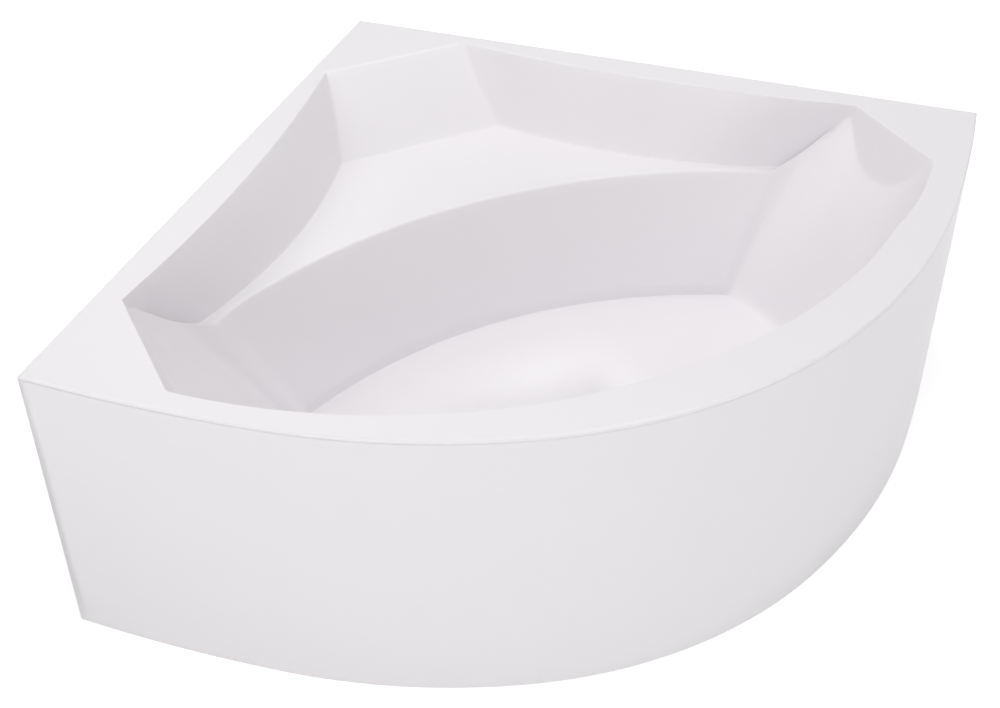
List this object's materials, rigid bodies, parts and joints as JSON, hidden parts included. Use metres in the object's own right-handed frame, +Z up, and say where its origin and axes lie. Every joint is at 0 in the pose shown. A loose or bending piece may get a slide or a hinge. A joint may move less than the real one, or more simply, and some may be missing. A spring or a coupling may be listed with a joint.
{
  "type": "corner bathtub",
  "caption": "White corner bathtub with a bowed front panel, an oval footwell, a moulded corner seat, levelling feet and a pop-up waste.",
  "frame": {"origin": "centre of the tub's bounding box, on the floor of the room", "axes": "+Z up; the back wall is at +Y and the left wall at -X, so the wall corner with the seat is at -X +Y and the bowed front faces +X -Y"},
  "size_m": [1.403, 1.403, 0.584],
  "materials": {
    "acrylic": "gloss",
    "panel_acrylic": "gloss",
    "board": "raw particle board",
    "painted_tube": "satin",
    "black_plastic": "matte",
    "zinc_steel": "zinc plated",
    "spring_steel": "satin",
    "chrome": "polished",
    "brass": "satin",
    "rubber": "matte",
    "cable_sheath": "matte",
    "white_plastic": "satin"
  },
  "bodies": {
    "tub": {"base_board": "board", "bracket_screws": "zinc_steel", "front_rail": "painted_tube", "leg_guide_bush": "black_plastic", "lift_cable": "cable_sheath", "outlet_pipe": "white_plastic", "outlet_union_nut": "white_plastic", "overflow_body": "white_plastic", "overflow_face": "chrome", "overflow_gasket": "rubber", "overflow_pipe": "white_plastic", "overflow_pipe_nuts": "white_plastic", "overflow_screws": "zinc_steel", "panel_clip_screws": "zinc_steel", "panel_clips": "spring_steel", "rail_end_caps": "black_plastic", "rail_screws": "zinc_steel", "rear_rail": "painted_tube", "rim_batten_back": "board", "rim_batten_front": "board", "rim_batten_left": "board", "seat_board": "board", "seat_leg": "painted_tube", "seat_leg_screws": "zinc_steel", "trap_body": "white_plastic", "trap_cup": "white_plastic", "trap_union_nut": "white_plastic", "tub_shell": "acrylic", "wall_brackets": "zinc_steel", "waste_body": "white_plastic", "waste_bottom_gasket": "rubber", "waste_flange": "chrome", "waste_top_gasket": "rubber"},
    "foot_1": {"foot_rod_1": "zinc_steel", "foot_pad_1": "black_plastic"},
    "nuts_1": {"levelling_nuts_1": "zinc_steel"},
    "foot_2": {"foot_rod_2": "zinc_steel", "foot_pad_2": "black_plastic"},
    "nuts_2": {"levelling_nuts_2": "zinc_steel"},
    "foot_3": {"foot_rod_3": "zinc_steel", "foot_pad_3": "black_plastic"},
    "nuts_3": {"levelling_nuts_3": "zinc_steel"},
    "foot_4": {"foot_rod_4": "zinc_steel", "foot_pad_4": "black_plastic"},
    "nuts_4": {"levelling_nuts_4": "zinc_steel"},
    "foot_5": {"foot_rod_5": "zinc_steel", "foot_pad_5": "black_plastic"},
    "nuts_5": {"levelling_nuts_5": "zinc_steel"},
    "overflow_knob": {"overflow_knob": "chrome"},
    "plug": {"waste_plug": "chrome", "plug_seal": "rubber", "lift_pin": "brass"},
    "panel": {"front_panel": "panel_acrylic"}
  },
  "joints": [
    {"name": "foot_1_height", "type": "slide", "parent": "tub", "child": "foot_1", "axis": [0, 0, 1], "range_m": [-0.02, 0.01]},
    {"name": "nuts_1_turn", "type": "hinge", "parent": "tub", "child": "nuts_1", "pos_m": [-0.53884, -0.29548, 0.125], "axis": [0, 0, 1], "range_deg": [-2060, 4120]},
    {"name": "foot_2_height", "type": "slide", "parent": "tub", "child": "foot_2", "axis": [0, 0, 1], "range_m": [-0.02, 0.01]},
    {"name": "nuts_2_turn", "type": "hinge", "parent": "tub", "child": "nuts_2", "pos_m": [0.29548, 0.53884, 0.125], "axis": [0, 0, 1], "range_deg": [-2060, 4120]},
    {"name": "foot_3_height", "type": "slide", "parent": "tub", "child": "foot_3", "axis": [0, 0, 1], "range_m": [-0.02, 0.01]},
    {"name": "nuts_3_turn", "type": "hinge", "parent": "tub", "child": "nuts_3", "pos_m": [-0.34081, -0.4935, 0.125], "axis": [0, 0, 1], "range_deg": [-2060, 4120]},
    {"name": "foot_4_height", "type": "slide", "parent": "tub", "child": "foot_4", "axis": [0, 0, 1], "range_m": [-0.02, 0.01]},
    {"name": "nuts_4_turn", "type": "hinge", "parent": "tub", "child": "nuts_4", "pos_m": [0.4935, 0.34081, 0.125], "axis": [0, 0, 1], "range_deg": [-2060, 4120]},
    {"name": "foot_5_height", "type": "slide", "parent": "tub", "child": "foot_5", "axis": [0, 0, 1], "range_m": [-0.02, 0.01]},
    {"name": "nuts_5_turn", "type": "hinge", "parent": "tub", "child": "nuts_5", "pos_m": [-0.3656, 0.3656, 0.125], "axis": [0, 0, 1], "range_deg": [-2060, 4120]},
    {"name": "overflow_knob_turn", "type": "hinge", "parent": "tub", "child": "overflow_knob", "pos_m": [0.28989, -0.33231, 0.512], "axis": [-0.6823, 0.6823, 0.2627], "range_deg": [0, 90]},
    {"name": "plug_lift", "type": "slide", "parent": "tub", "child": "plug", "axis": [0, 0, 1], "range_m": [0, 0.01]},
    {"name": "panel_pull", "type": "slide", "parent": "tub", "child": "panel", "axis": [0.7071, -0.7071, 0], "range_m": [0, 0.3]}
  ],
  "couplings": [
    {"joint": "nuts_1_turn", "follows": "foot_1_height", "rad_per_m": -3590.4},
    {"joint": "nuts_2_turn", "follows": "foot_2_height", "rad_per_m": -3590.4},
    {"joint": "nuts_3_turn", "follows": "foot_3_height", "rad_per_m": -3590.4},
    {"joint": "nuts_4_turn", "follows": "foot_4_height", "rad_per_m": -3590.4},
    {"joint": "nuts_5_turn", "follows": "foot_5_height", "rad_per_m": -3590.4},
    {"joint": "plug_lift", "follows": "overflow_knob_turn", "m_per_rad": 0.006366}
  ]
}
